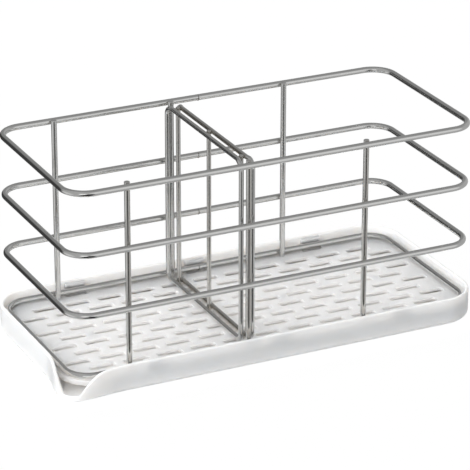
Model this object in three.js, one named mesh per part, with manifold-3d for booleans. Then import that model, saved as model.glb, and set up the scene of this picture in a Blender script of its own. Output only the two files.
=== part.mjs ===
// Sink sponge holder: a wire basket clipped to a slotted drip plate, standing in a tray with a
// pouring spout, and a lift-out wire divider that straddles one pair of the basket's posts.
// Millimetres, +Z up, +X along the long side, the front at -Y. The origin is the middle of the
// tray's underside.

import * as THREE from 'three';
import { mergeVertices, toCreasedNormals } from 'three/addons/utils/BufferGeometryUtils.js';
import Module from 'manifold-3d';

const wasm = await Module();
wasm.setup();

// Clearances
const seatGap = 0.3; // under a piece that stands on another
const weldGap = 0.15; // between two wires that are welded side by side
const trayGap = 0.4; // between the drip plate's edge and the tray's wall
const postClearance = 0.45; // between a post and the divider's uprights
const cutOverrun = 1; // how far a cutting body runs past what it cuts

// Tray
const trayLength = 260.8;
const trayDepth = 121.8;
const trayHeight = 16.6;
const trayWall = 2.0;
const trayFloor = 2.0;
const trayCornerRadius = 22;
const trayFootFillet = 3.2;
const trayInnerFillet = 2.0;
const trayRimRound = 0.7;

// Pouring spout at the front left corner, measured along the outline from the corner's middle
const spoutReach = 9.6;
const spoutLipHeight = 3.8;
const spoutLipUnderside = 2.0;
const spoutLipFloor = 2.7;
const spoutLipHalfWidth = 4.3;
const spoutLipSoftening = 1.5;
const spoutFlankEnd = 18.4;
const spoutFlareEnd = 29;
const spoutCurveExponent = 1.5; // how late the spout's underside and floor rise towards the lip

// Drip plate
const plateEdgeHeight = 3.2;
const plateThickness = 2.0;
const plateSkirtWall = 1.6;
const plateFootHeight = 3.9;
const plateFootDiameter = 5;
const plateFootTaper = 0.5;
const plateFootEdge = 9; // from the plate's long edge to the outer rows of feet
const plateFootStep = 3; // slot columns from one foot to the next
const slotLength = 15;
const slotWidth = 5;
const slotCornerRadius = 1.4;
const slotPitch = 20.55;
const slotRowPitch = 10.6;
const slotEndMargin = 6.5;
const slotSideMargin = 12;

// Snap hooks of the drip plate, which hold the lowest ring
const hookWidth = 12.6;
const hookEndMargin = 50; // from the plate's end to the middle of the nearest hook
const hookLipHeight = 2.3;
const hookLipOverhang = 1.6;
const hookLipChamfer = 0.9;
const hookWindowDepth = 4.3;

// Wire basket
const ringWire = 3.6;
const ringInset = 1.2; // from the drip plate's edge to the outside of the wire
const ringCornerRadius = 13.8;
const ringPitch = 36.1;
const ringCount = 4;
const postWire = 3.3;
const postEndChamfer = 0.3;
const leftPostMargin = 34.3; // from the end of a ring's centre line to the nearest posts
const rightPostMargin = 68.9;

// Divider
const loopWire = 2.8;
const loopSetback = 2.4; // from a post's centre line in to the divider's uprights
const loopCornerRadius = 5;
const loopSplayLength = 4;
const rodWire = 2.6;
const rodEndChamfer = 0.25;
const rodSetback = 7.5; // from the divider's uprights in to the outer rods

// Facets
const wireSides = 10;
const rodSides = 10;
const ringCornerSteps = 6;
const loopCornerSteps = 4;
const trayCornerSteps = 8;
const spoutSteps = 30;
const filletSteps = 4;
const slotCornerSteps = 2;
const plateCornerSteps = 8;
const footSides = 10;
const rimSteps = 2;
const creaseAngle = Math.PI / 5; // edges sharper than this stay sharp in the shading

// Worked out from the sizes above
const plateHalfLength = trayLength / 2 - trayWall - trayGap;
const plateHalfDepth = trayDepth / 2 - trayWall - trayGap;
const plateCornerRadius = trayCornerRadius - trayWall - trayGap;
const plateFootBottom = trayFloor + seatGap;
const plateEdgeBottom = plateFootBottom + plateFootHeight;
const plateTop = plateEdgeBottom + plateEdgeHeight;
const plateUnderside = plateTop - plateThickness;

const ringRadius = ringWire / 2;
const ringHalfLength = plateHalfLength - ringInset - ringRadius;
const ringHalfDepth = plateHalfDepth - ringInset - ringRadius;
const lowestRingZ = plateTop + seatGap + ringRadius;
const topRingZ = lowestRingZ + (ringCount - 1) * ringPitch;
const basketTop = topRingZ + ringRadius;

const postRadius = postWire / 2;
const postY = ringHalfDepth - ringRadius - weldGap - postRadius;
const postBottom = plateTop + seatGap;
const postPitch = ringHalfLength - (leftPostMargin + rightPostMargin) / 2;
const middlePostX = leftPostMargin + postPitch - ringHalfLength;

const hookPitch = plateHalfLength - hookEndMargin;
const hookOuterY = plateHalfDepth;
const hookInnerY = ringHalfDepth + ringRadius + seatGap;
const hookNoseY = hookInnerY - hookLipOverhang;
const hookLipUnderside = lowestRingZ + ringRadius + seatGap;
const hookTop = hookLipUnderside + hookLipHeight;
const hookWindowOuterY = hookInnerY - seatGap / 2;
const hookWindowWidth = hookWidth + seatGap;

const loopRadius = loopWire / 2;
const loopHalfDepth = postY - loopSetback;
const rodSpacing = loopHalfDepth - rodSetback;
const rodRadius = rodWire / 2;
const loopBarOffset = rodRadius + weldGap + loopRadius;
const loopUprightOffset = postRadius + postClearance + loopRadius;
const loopBottomZ = plateTop + seatGap + loopRadius;
const loopTopZ = topRingZ;

// Materials
const trayWhite = new THREE.MeshStandardMaterial({ color: 0xf4f4f6, roughness: 0.28, metalness: 0 });
const plateWhite = new THREE.MeshStandardMaterial({ color: 0xefeeea, roughness: 0.4, metalness: 0 });
const basketSteel = new THREE.MeshStandardMaterial({ color: 0xc4c4c2, roughness: 0.16, metalness: 1 });
const dividerSteel = new THREE.MeshStandardMaterial({ color: 0xbebebc, roughness: 0.18, metalness: 1 });

const holder = new THREE.Group();
holder.name = 'sponge_holder';

/** Adds a closed geometry to a group as a named mesh with creased normals. */
function addPiece(group, name, geometry, material) {
  const creased = toCreasedNormals(geometry, creaseAngle);
  const mesh = new THREE.Mesh(creased, material);
  mesh.name = name;
  group.add(mesh);
  return mesh;
}

/** A three.js geometry as a solid that can be joined and cut. */
function toSolid(geometry) {
  const bare = geometry.clone();
  bare.deleteAttribute('normal');
  bare.deleteAttribute('uv');
  const welded = mergeVertices(bare);
  const vertProperties = new Float32Array(welded.attributes.position.array);
  const triVerts = new Uint32Array(welded.index.array);
  return new wasm.Manifold(new wasm.Mesh({ numProp: 3, vertProperties, triVerts }));
}

/** A solid back as a three.js geometry. */
function toGeometry(solid) {
  const mesh = solid.getMesh();
  const geometry = new THREE.BufferGeometry();
  geometry.setAttribute('position', new THREE.BufferAttribute(mesh.vertProperties, 3));
  geometry.setIndex(new THREE.BufferAttribute(mesh.triVerts, 1));
  return geometry;
}

/** Smooth step from 0 to 1 while t goes from 0 to 1. */
function ease(t) {
  const clamped = THREE.MathUtils.clamp(t, 0, 1);
  return clamped * clamped * (3 - 2 * clamped);
}

/** Closed geometry from rings of points: neighbouring rings are joined, the last to the first. */
function closedSweep(rings) {
  const sides = rings[0].length;
  const positions = rings.flat().flatMap((point) => point.toArray());
  const index = [];
  rings.forEach((ring, i) => {
    const next = (i + 1) % rings.length;
    for (let j = 0; j < sides; j += 1) {
      const k = (j + 1) % sides;
      const a = i * sides + j;
      const b = i * sides + k;
      const c = next * sides + j;
      const d = next * sides + k;
      index.push(a, c, b, b, c, d);
    }
  });
  const geometry = new THREE.BufferGeometry();
  geometry.setAttribute('position', new THREE.Float32BufferAttribute(positions, 3));
  geometry.setIndex(index);
  return geometry;
}

/** A round wire bent along a closed run of points, in a plane whose normal is given. */
function closedWire(path, radius, planeNormal) {
  const rings = path.map((point, i) => {
    const before = path[(i + path.length - 1) % path.length];
    const after = path[(i + 1) % path.length];
    const tangent = after.clone().sub(before).normalize();
    const side = new THREE.Vector3().crossVectors(tangent, planeNormal).normalize();
    const lift = new THREE.Vector3().crossVectors(side, tangent);
    return Array.from({ length: wireSides }, (_, j) => {
      const angle = ((j + 0.5) * 2 * Math.PI) / wireSides;
      return point
        .clone()
        .addScaledVector(side, radius * Math.cos(angle))
        .addScaledVector(lift, radius * Math.sin(angle));
    });
  });
  return closedSweep(rings);
}

/** Points of a rounded rectangle, anticlockwise, each with its outward direction. */
function roundedRectangle(halfLength, halfDepth, radius, steps) {
  const points = [];
  const quarters = [[1, 1], [-1, 1], [-1, -1], [1, -1]];
  quarters.forEach(([signX, signY], quarter) => {
    for (let i = 0; i <= steps; i += 1) {
      const angle = ((quarter + i / steps) * Math.PI) / 2;
      const outward = new THREE.Vector2(Math.cos(angle), Math.sin(angle));
      const centre = new THREE.Vector2(signX * (halfLength - radius), signY * (halfDepth - radius));
      points.push({ place: centre.addScaledVector(outward, radius), outward });
    }
  });
  return points;
}

/** A rounded rectangle as a shape or a hole in a shape. */
function roundedOutline(halfLength, halfDepth, radius, steps, centreX = 0, centreY = 0) {
  const centre = new THREE.Vector2(centreX, centreY);
  return roundedRectangle(halfLength, halfDepth, radius, steps).map(({ place }) => place.add(centre));
}

/** A straight round wire along Z with chamfered ends. */
function straightWire(radius, bottom, top, chamfer) {
  const profile = [
    new THREE.Vector2(0, bottom),
    new THREE.Vector2(radius - chamfer, bottom),
    new THREE.Vector2(radius, bottom + chamfer),
    new THREE.Vector2(radius, top - chamfer),
    new THREE.Vector2(radius - chamfer, top),
    new THREE.Vector2(0, top),
  ];
  return new THREE.LatheGeometry(profile, rodSides).rotateX(Math.PI / 2);
}

/** How deep the spout has cut the wall at a distance from the corner's middle: 1 at the lip. */
function spoutDepthShare(distance) {
  const beyond = Math.max(Math.abs(distance) - spoutLipHalfWidth, 0);
  const softened = Math.hypot(beyond, spoutLipSoftening) - spoutLipSoftening;
  const share = Math.min(softened / (spoutFlankEnd - spoutLipHalfWidth), 1);
  return 1 - Math.sin((share * Math.PI) / 2);
}

/** The tray's outline as stations with a place, an outward direction and a distance. */
function trayStations() {
  const halfLength = trayLength / 2;
  const halfDepth = trayDepth / 2;
  const radius = trayCornerRadius;
  const arcHalf = (radius * Math.PI) / 4;
  const centre = new THREE.Vector2(radius - halfLength, radius - halfDepth);
  const spoutEnd = Math.max(spoutFlareEnd, arcHalf);

  const stations = [];
  for (let i = 0; i <= spoutSteps; i += 1) {
    const distance = spoutEnd * ((2 * i) / spoutSteps - 1);
    const along = Math.abs(distance) - arcHalf;
    const turned = THREE.MathUtils.clamp(distance / radius, -Math.PI / 4, Math.PI / 4);
    const angle = (5 * Math.PI) / 4 + turned;
    const outward = new THREE.Vector2(Math.cos(angle), Math.sin(angle));
    const place = centre.clone().addScaledVector(outward, radius);
    if (along > 0 && distance > 0) place.x += along;
    if (along > 0 && distance < 0) place.y += along;
    stations.push({ place, outward, distance });
  }
  const plain = [[1, -1, 3], [1, 1, 0], [-1, 1, 1]];
  plain.forEach(([signX, signY, quarter]) => {
    for (let i = 0; i <= trayCornerSteps; i += 1) {
      const angle = ((quarter + i / trayCornerSteps) * Math.PI) / 2;
      const outward = new THREE.Vector2(Math.cos(angle), Math.sin(angle));
      const place = new THREE.Vector2(signX * (halfLength - radius), signY * (halfDepth - radius));
      stations.push({ place: place.addScaledVector(outward, radius), outward, distance: Infinity });
    }
  });
  return stations;
}

/** The wall's section at one station, from the underside's edge round the rim to the floor's edge. */
function traySection({ place, outward, distance }) {
  const depth = Number.isFinite(distance) ? spoutDepthShare(distance) : 0;
  const flare = Number.isFinite(distance) ? spoutReach * (1 - ease(Math.abs(distance) / spoutFlareEnd)) : 0;
  const rim = THREE.MathUtils.lerp(trayHeight, spoutLipHeight, depth);
  const towards = new THREE.Vector2(-Math.SQRT1_2, -Math.SQRT1_2);
  const at = (inset, height, flareShare) => {
    const flat = place
      .clone()
      .addScaledVector(outward, -inset)
      .addScaledVector(towards, flare * flareShare);
    return new THREE.Vector3(flat.x, flat.y, height);
  };

  const section = [];
  for (let i = 0; i <= filletSteps; i += 1) {
    const share = i / filletSteps;
    const angle = (share * Math.PI) / 2;
    const inset = trayFootFillet * (1 - Math.sin(angle));
    const rounded = trayFootFillet * (1 - Math.cos(angle));
    const underside = spoutLipUnderside * share ** spoutCurveExponent;
    section.push(at(inset, THREE.MathUtils.lerp(rounded, underside, depth), share));
  }
  for (let i = 0; i <= rimSteps; i += 1) {
    const angle = ((i / rimSteps) * Math.PI) / 2;
    const inset = trayRimRound * (1 - Math.cos(angle));
    section.push(at(inset, rim - trayRimRound * (1 - Math.sin(angle)), 1));
  }
  for (let i = 0; i <= rimSteps; i += 1) {
    const angle = ((i / rimSteps) * Math.PI) / 2;
    const inset = trayWall - trayRimRound * (1 - Math.sin(angle));
    section.push(at(inset, rim - trayRimRound * (1 - Math.cos(angle)), 1));
  }
  for (let i = filletSteps; i >= 0; i -= 1) {
    const share = i / filletSteps;
    const angle = (share * Math.PI) / 2;
    const inset = trayWall + trayInnerFillet * (1 - Math.sin(angle));
    const rounded = trayFloor + trayInnerFillet * (1 - Math.cos(angle));
    const channel = THREE.MathUtils.lerp(trayFloor, spoutLipFloor, share ** spoutCurveExponent);
    section.push(at(inset, THREE.MathUtils.lerp(rounded, channel, depth), share));
  }
  return section;
}

/** The tray: a lofted wall with a flat floor and underside. */
function trayGeometry() {
  const sections = trayStations().map(traySection);
  const count = sections.length;
  const rows = sections[0].length;
  const positions = sections.flat().flatMap((point) => point.toArray());
  const index = [];
  for (let i = 0; i < count; i += 1) {
    const next = (i + 1) % count;
    for (let j = 0; j < rows - 1; j += 1) {
      const a = i * rows + j;
      const b = next * rows + j;
      index.push(a, b, a + 1, b, b + 1, a + 1);
    }
  }
  const underside = sections.map((section) => new THREE.Vector2(section[0].x, section[0].y));
  THREE.ShapeUtils.triangulateShape(underside, []).forEach(([a, b, c]) => {
    index.push(a * rows, c * rows, b * rows);
  });
  const top = rows - 1;
  const floor = sections.map((section) => new THREE.Vector2(section[top].x, section[top].y));
  THREE.ShapeUtils.triangulateShape(floor, []).forEach(([a, b, c]) => {
    index.push(a * rows + top, b * rows + top, c * rows + top);
  });
  const geometry = new THREE.BufferGeometry();
  geometry.setAttribute('position', new THREE.Float32BufferAttribute(positions, 3));
  geometry.setIndex(index);
  return geometry;
}

/** The last slot column that the end margins leave room for, in a row that is shifted or not. */
function lastColumn(shift) {
  const reach = plateHalfLength - slotEndMargin - slotLength / 2;
  return Math.floor(reach / slotPitch - shift) + shift;
}

/** The slots' centres: rows in brick pattern, as many as the margins leave room for. */
function slotCentres() {
  const centres = [];
  const lastRow = Math.floor((plateHalfDepth - slotSideMargin - slotWidth / 2) / slotRowPitch);
  for (let row = -lastRow; row <= lastRow; row += 1) {
    const last = lastColumn(Math.abs(row) % 2 === 1 ? 0.5 : 0);
    for (let column = -last; column <= last; column += 1) {
      centres.push(new THREE.Vector2(column * slotPitch, row * slotRowPitch));
    }
  }
  return centres;
}

/** The flat of the drip plate, with its slots and the windows under the hooks. */
function plateFlat() {
  const outline = roundedOutline(plateHalfLength, plateHalfDepth, plateCornerRadius, plateCornerSteps);
  const shape = new THREE.Shape(outline);
  slotCentres().forEach(({ x, y }) => {
    const slot = roundedOutline(slotLength / 2, slotWidth / 2, slotCornerRadius, slotCornerSteps, x, y);
    shape.holes.push(new THREE.Path(slot));
  });
  const flat = new THREE.ExtrudeGeometry(shape, { depth: plateThickness, bevelEnabled: false, steps: 1 });
  return toSolid(flat.translate(0, 0, plateUnderside));
}

/** The band round the plate's edge, deeper than the flat. */
function plateSkirt() {
  const outer = roundedOutline(plateHalfLength, plateHalfDepth, plateCornerRadius, plateCornerSteps);
  const inner = roundedOutline(
    plateHalfLength - plateSkirtWall,
    plateHalfDepth - plateSkirtWall,
    plateCornerRadius - plateSkirtWall,
    plateCornerSteps,
  );
  const shape = new THREE.Shape(outer);
  shape.holes.push(new THREE.Path(inner));
  const skirt = new THREE.ExtrudeGeometry(shape, { depth: plateEdgeHeight, bevelEnabled: false, steps: 1 });
  return toSolid(skirt.translate(0, 0, plateEdgeBottom));
}

/** One foot of the drip plate, a tapered stud from the tray's floor into the flat. */
function plateFoot(x, y) {
  const height = plateTop - plateThickness / 2 - plateFootBottom;
  const top = plateFootDiameter / 2;
  const foot = new THREE.CylinderGeometry(top, top - plateFootTaper, height, footSides);
  return toSolid(foot.rotateX(Math.PI / 2).translate(x, y, plateFootBottom + height / 2));
}

/** A snap hook: a thin stem outside the lowest ring and a lip over it. side is 1 back, -1 front. */
function plateHook(x, side) {
  const rounding = hookOuterY - hookInnerY;
  const profile = new THREE.Shape([
    new THREE.Vector2(hookOuterY, plateEdgeBottom),
    new THREE.Vector2(hookOuterY, hookTop - rounding / 2),
    new THREE.Vector2(hookOuterY - rounding / 2, hookTop),
    new THREE.Vector2(hookNoseY + hookLipChamfer, hookTop),
    new THREE.Vector2(hookNoseY, hookTop - hookLipChamfer),
    new THREE.Vector2(hookNoseY, hookLipUnderside),
    new THREE.Vector2(hookInnerY, hookLipUnderside),
    new THREE.Vector2(hookInnerY, plateEdgeBottom),
  ]);
  const hook = new THREE.ExtrudeGeometry(profile, { depth: hookWidth, bevelEnabled: false, steps: 1 });
  hook.rotateX(Math.PI / 2).rotateZ(Math.PI / 2);
  hook.translate(-hookWidth / 2, 0, 0);
  if (side < 0) hook.rotateZ(Math.PI);
  return toSolid(hook.translate(x, 0, 0));
}

/** The window under a hook's lip, which the mould needs to form the lip. */
function hookWindow(x, side) {
  const height = plateThickness + 2 * cutOverrun;
  const window = new THREE.BoxGeometry(hookWindowWidth, hookWindowDepth, height);
  const centreY = side * (hookWindowOuterY - hookWindowDepth / 2);
  return toSolid(window.translate(x, centreY, plateUnderside - cutOverrun + height / 2));
}

/** The whole drip plate. */
function plateGeometry() {
  const joined = [plateSkirt()];
  const cuts = [];
  for (const side of [1, -1]) {
    for (const column of [-1, 0, 1]) {
      joined.push(plateHook(column * hookPitch, side));
      cuts.push(hookWindow(column * hookPitch, side));
    }
  }
  const lastFoot = lastColumn(0.5) - 1;
  for (const row of [-1, 0, 1]) {
    for (let column = -lastFoot; column <= lastFoot; column += plateFootStep) {
      joined.push(plateFoot(column * slotPitch, row * (plateHalfDepth - plateFootEdge)));
    }
  }
  const solid = cuts.reduce((plate, cut) => plate.subtract(cut), plateFlat());
  return toGeometry(joined.reduce((plate, piece) => plate.add(piece), solid));
}

/** One ring of the basket at a height. */
function ringGeometry(height) {
  const path = roundedRectangle(ringHalfLength, ringHalfDepth, ringCornerRadius, ringCornerSteps)
    .map(({ place }) => new THREE.Vector3(place.x, place.y, height));
  return closedWire(path, ringRadius, new THREE.Vector3(0, 0, 1));
}

/** One loop of the divider: an upright rounded rectangle whose uprights are splayed round a post. */
function loopGeometry(side) {
  const halfHeight = (loopTopZ - loopBottomZ) / 2;
  const middleZ = (loopTopZ + loopBottomZ) / 2;
  const splayStart = loopHalfDepth - loopCornerRadius - loopSplayLength / 2;
  const path = [];
  const outline = roundedRectangle(loopHalfDepth, halfHeight, loopCornerRadius, loopCornerSteps);
  outline.forEach(({ place }, i) => {
    const after = outline[(i + 1) % outline.length].place;
    path.push(place);
    const bar = Math.abs(after.x - place.x) > loopHalfDepth;
    if (bar) {
      path.push(new THREE.Vector2(Math.sign(place.x) * splayStart, place.y));
      path.push(new THREE.Vector2(Math.sign(after.x) * splayStart, place.y));
    }
  });
  const points = path.map(({ x, y }) => {
    const splay = ease((Math.abs(x) - splayStart) / loopSplayLength);
    const offset = THREE.MathUtils.lerp(loopBarOffset, loopUprightOffset, splay);
    return new THREE.Vector3(side * offset, x, middleZ + y);
  });
  return closedWire(points, loopRadius, new THREE.Vector3(1, 0, 0));
}

/** Puts the tray into the holder. */
function addTray() {
  addPiece(holder, 'tray', trayGeometry(), trayWhite);
}

/** Puts the drip plate, its rings and posts into the holder. */
function addBasket() {
  const basket = new THREE.Group();
  basket.name = 'basket';
  addPiece(basket, 'drip_plate', plateGeometry(), plateWhite);
  for (let i = 0; i < ringCount; i += 1) {
    addPiece(basket, `basket_ring_${i + 1}`, ringGeometry(lowestRingZ + i * ringPitch), basketSteel);
  }
  const columns = { left: -1, middle: 0, right: 1 };
  const rows = { front: -1, back: 1 };
  for (const [row, side] of Object.entries(rows)) {
    for (const [column, step] of Object.entries(columns)) {
      const wire = straightWire(postRadius, postBottom, basketTop, postEndChamfer);
      const post = addPiece(basket, `post_${row}_${column}`, wire, basketSteel);
      post.position.set(middlePostX + step * postPitch, side * postY, 0);
    }
  }
  holder.add(basket);
}

/** Puts the divider, two loops with three rods between them, into the holder. */
function addDivider() {
  const divider = new THREE.Group();
  divider.name = 'divider';
  divider.position.x = middlePostX;
  addPiece(divider, 'divider_loop_left', loopGeometry(-1), dividerSteel);
  addPiece(divider, 'divider_loop_right', loopGeometry(1), dividerSteel);
  const rods = { front: -1, middle: 0, back: 1 };
  for (const [name, step] of Object.entries(rods)) {
    const wire = straightWire(rodRadius, loopBottomZ - loopRadius, loopTopZ + loopRadius, rodEndChamfer);
    const rod = addPiece(divider, `divider_rod_${name}`, wire, dividerSteel);
    rod.position.y = step * rodSpacing;
  }
  holder.add(divider);
}

addTray();
addBasket();
addDivider();

export default holder;
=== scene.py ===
"""Looks of a sink sponge holder: a wire basket on a slotted drip plate, in a white tray with a spout.

Metres, +Z up, +X along the long side, the front at -Y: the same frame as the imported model.
"""

import logging
import math
from collections.abc import Callable
from dataclasses import dataclass
from enum import Enum
from typing import Any

import bmesh
import bpy
from mathutils import Matrix, Vector

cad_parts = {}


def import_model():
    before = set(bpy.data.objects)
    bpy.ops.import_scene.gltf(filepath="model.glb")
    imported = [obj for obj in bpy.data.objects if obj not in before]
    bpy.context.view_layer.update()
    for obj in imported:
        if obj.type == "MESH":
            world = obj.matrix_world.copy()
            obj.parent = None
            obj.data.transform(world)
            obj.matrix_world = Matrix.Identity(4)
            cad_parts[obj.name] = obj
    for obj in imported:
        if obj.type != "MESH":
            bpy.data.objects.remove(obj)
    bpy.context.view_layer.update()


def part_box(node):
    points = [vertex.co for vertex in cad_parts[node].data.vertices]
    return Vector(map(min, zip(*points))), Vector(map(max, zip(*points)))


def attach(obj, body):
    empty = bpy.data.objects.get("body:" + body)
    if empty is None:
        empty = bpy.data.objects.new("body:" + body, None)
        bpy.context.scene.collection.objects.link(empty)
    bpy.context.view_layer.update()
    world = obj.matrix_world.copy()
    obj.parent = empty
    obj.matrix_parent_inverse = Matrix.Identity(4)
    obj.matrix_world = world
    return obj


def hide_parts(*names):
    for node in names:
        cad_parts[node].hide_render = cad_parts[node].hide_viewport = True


LOG = logging.getLogger("sponge_holder")
MM = 0.001
SMOOTH_ANGLE = math.radians(32)
SHARP_ANGLE = math.radians(50)
MERGE_DISTANCE = 0.002 * MM
FLAT_ENOUGH = 0.9999
STEEP = 0.5
WIRE_ATTRIBUTE = "along_wire"
WELD_ATTRIBUTE = "weld_heat"
RIGHT = Vector((1, 0, 0))
BACK = Vector((0, 1, 0))
UP = Vector((0, 0, 1))
ORIGIN = Vector((0, 0, 0))
QUARTER_TURN = math.pi / 2
COLUMNS = ("left", "middle", "right")
ROWS = (("front", -1), ("middle", 0), ("back", 1))


class Body(Enum):
    """The bodies of the frame that a piece can ride on."""

    TRAY = "tray"
    BASKET = "basket"
    DIVIDER = "divider"


class Slot(Enum):
    """The record's material slots."""

    TRAY = "tray_plastic"
    PLATE = "plate_plastic"
    BASKET = "basket_steel"
    DIVIDER = "divider_steel"


def ease(share: float) -> float:
    """Smooth step from 0 to 1 while share goes from 0 to 1."""
    clamped = min(max(share, 0.0), 1.0)
    return clamped * clamped * (3 - 2 * clamped)


def lerp(start: float, end: float, share: float) -> float:
    """Value between start and end."""
    return start + (end - start) * share


class Signal:
    """A shader socket that takes part in Python expressions."""

    def __init__(self, recipe: "Recipe", socket: Any) -> None:
        """Wraps a socket.

        Args:
            recipe: The material recipe whose tree holds the socket.
            socket: The output socket.
        """
        self.recipe = recipe
        self.socket = socket

    def _math(self, operation: str, *values: Any) -> "Signal":
        """One Math node on these values."""
        inputs = dict(enumerate(values))
        return self.recipe.node("ShaderNodeMath", {"operation": operation}, inputs)

    def __add__(self, other: Any) -> "Signal":
        """Sum."""
        return self._math("ADD", self, other)

    __radd__ = __add__

    def __sub__(self, other: Any) -> "Signal":
        """Difference."""
        return self._math("SUBTRACT", self, other)

    def __rsub__(self, other: Any) -> "Signal":
        """Difference with the signal taken away."""
        return self._math("SUBTRACT", other, self)

    def __mul__(self, other: Any) -> "Signal":
        """Product."""
        return self._math("MULTIPLY", self, other)

    __rmul__ = __mul__

    def clipped(self, low: float, high: float) -> "Signal":
        """The signal brought from low..high to 0..1, with nothing outside."""
        spread = (self - low) * (1 / (high - low))
        return self.recipe.node("ShaderNodeClamp", {}, {"Value": spread})


class Recipe:
    """The nodes of a material or of the world, under construction."""

    def __init__(self, owner: bpy.types.Material | bpy.types.World) -> None:
        """Starts an empty node tree.

        Args:
            owner: The new material or world.
        """
        self.owner = owner
        owner.use_nodes = True
        self.tree = owner.node_tree
        self.tree.nodes.clear()

    @classmethod
    def material(cls, name: str) -> "Recipe":
        """A recipe for a new material."""
        return cls(bpy.data.materials.new(name))

    def node(self, kind: str, settings: dict[str, Any], inputs: dict[Any, Any], output: Any = 0) -> Signal:
        """Adds one node.

        Args:
            kind: The node's type.
            settings: Its settings, set first.
            inputs: Values or signals for its input sockets, by name or number.
            output: Name or number of the output wanted.

        Returns:
            The output as a signal.
        """
        made = self.tree.nodes.new(kind)
        for key, value in settings.items():
            setattr(made, key, value)
        for key, value in inputs.items():
            if isinstance(value, Signal):
                self.tree.links.new(value.socket, made.inputs[key])
            else:
                made.inputs[key].default_value = value
        return Signal(self, made.outputs[output])

    def place(self) -> Signal:
        """The point on the piece, in Object coordinates."""
        return self.node("ShaderNodeTexCoord", {}, {}, "Object")

    def attribute(self, name: str, output: str) -> Signal:
        """A value that the mesh carries."""
        return self.node("ShaderNodeAttribute", {"attribute_name": name}, {}, output)

    def stretched(self, vector: Signal, scale: tuple[float, float, float]) -> Signal:
        """A vector with each axis scaled."""
        return self.node("ShaderNodeVectorMath", {"operation": "MULTIPLY"}, {0: vector, 1: scale})

    def noise(self, vector: Signal, scale: float, detail: float = 2.0, roughness: float = 0.5) -> Signal:
        """Soft noise, mostly between 0.3 and 0.7.

        Args:
            vector: Where to read it.
            scale: Features per metre.
            detail: Octaves.
            roughness: How much the fine octaves count.

        Returns:
            The noise as a signal.
        """
        inputs = {"Vector": vector, "Scale": scale, "Detail": detail, "Roughness": roughness}
        return self.node("ShaderNodeTexNoise", {"noise_dimensions": "3D"}, inputs)

    def specks(self, vector: Signal, scale: float) -> Signal:
        """Distance to the nearest of scattered points, in their own spacing."""
        inputs = {"Vector": vector, "Scale": scale}
        return self.node("ShaderNodeTexVoronoi", {"feature": "F1"}, inputs, "Distance")

    def mixed(self, factor: Signal, under: Signal | tuple[float, ...], over: tuple[float, ...]) -> Signal:
        """A colour laid over another by a factor."""
        base = under if isinstance(under, Signal) else (*under, 1.0)
        inputs = {"Factor": factor, 6: base, 7: (*over, 1.0)}
        return self.node("ShaderNodeMix", {"data_type": "RGBA"}, inputs, 2)

    def bump(self, height: Signal, distance: float) -> Signal:
        """A surface normal from a height, with the metres that a height of 1 stands for."""
        return self.node("ShaderNodeBump", {}, {"Height": height, "Distance": distance})

    def principled(self, inputs: dict[str, Any]) -> bpy.types.Material:
        """Connects one Principled shader with these inputs and returns the material."""
        return self.finish(self.node("ShaderNodeBsdfPrincipled", {}, inputs))

    def finish(self, surface: Signal) -> bpy.types.Material | bpy.types.World:
        """Connects the surface and returns the material or world."""
        kind = "World" if isinstance(self.owner, bpy.types.World) else "Material"
        output = self.tree.nodes.new(f"ShaderNodeOutput{kind}")
        self.tree.links.new(surface.socket, output.inputs["Surface"])
        return self.owner


@dataclass(frozen=True)
class MouldedPlastic:
    """Injection-moulded plastic with a fine satin grain, faint flow clouds and a few rubbed spots."""

    name: str
    colour: tuple[float, float, float]
    cloud_colour: tuple[float, float, float]
    roughness: float
    roughness_spread: float
    coat: float
    depth_glow: float
    glow_distance: float
    glow_radius: tuple[float, float, float]
    grain_depth: float = 0.004 * MM
    grain_scale: float = 2600.0
    cloud_scale: float = 14.0
    cloud_range: tuple[float, float] = (0.35, 0.7)
    rubbed_scale: float = 84.0
    flow_stretch: tuple[float, float, float] = (1.0, 4.0, 4.0)

    def material(self) -> bpy.types.Material:
        """Builds the material.

        Returns:
            The node material.
        """
        recipe = Recipe.material(self.name)
        place = recipe.place()
        clouds = recipe.noise(recipe.stretched(place, self.flow_stretch), self.cloud_scale, 3.0)
        grain = recipe.noise(place, self.grain_scale, 2.0, 0.6)
        rubbed = recipe.noise(place, self.rubbed_scale, 4.0, 0.65)
        colour = recipe.mixed(clouds.clipped(*self.cloud_range), self.colour, self.cloud_colour)
        roughness = self.roughness + (rubbed - 0.5) * self.roughness_spread
        inputs = {
            "Base Color": colour,
            "Roughness": roughness,
            "IOR": 1.5,
            "Coat Weight": self.coat,
            "Coat Roughness": 0.12,
            "Subsurface Weight": self.depth_glow,
            "Subsurface Radius": self.glow_radius,
            "Subsurface Scale": self.glow_distance,
            "Normal": recipe.bump(grain, self.grain_depth),
        }
        return recipe.principled(inputs)


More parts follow.
